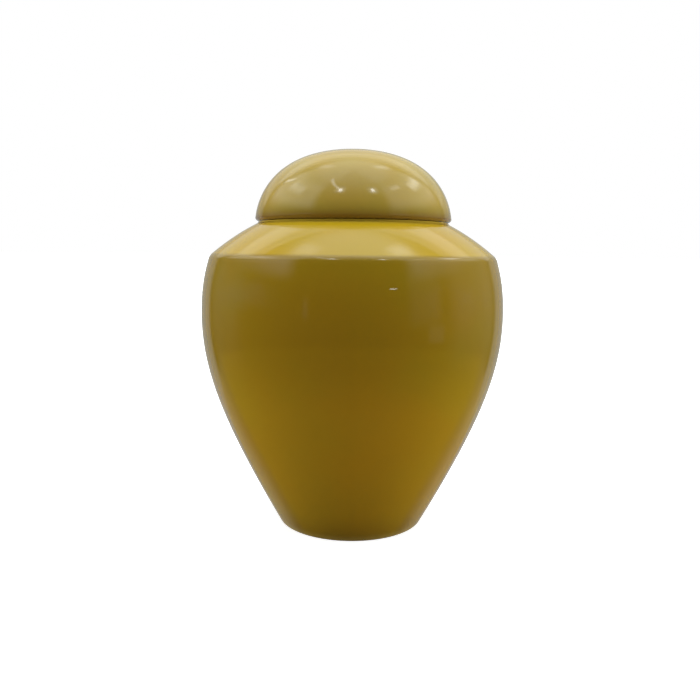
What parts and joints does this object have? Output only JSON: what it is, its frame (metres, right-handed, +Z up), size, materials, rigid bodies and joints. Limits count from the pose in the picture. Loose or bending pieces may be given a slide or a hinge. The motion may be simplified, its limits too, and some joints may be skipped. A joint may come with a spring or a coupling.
{
  "type": "cremation urn",
  "caption": "Hollow ceramic urn of ginger-jar form with a firm shoulder and a domed lid that lifts off its short neck.",
  "frame": {"origin": "centre of the foot ring, on the ground", "axes": "+Z up along the axis that both pieces are turned about"},
  "size_m": [0.2, 0.2, 0.2493],
  "materials": {
    "jar_glaze": "glossy ochre glaze, unglazed on the foot ring",
    "lid_glaze": "glossy ochre glaze, unglazed on the rim"
  },
  "bodies": {
    "root": {"jar": "jar_glaze", "lid": "lid_glaze"}
  },
  "joints": []
}
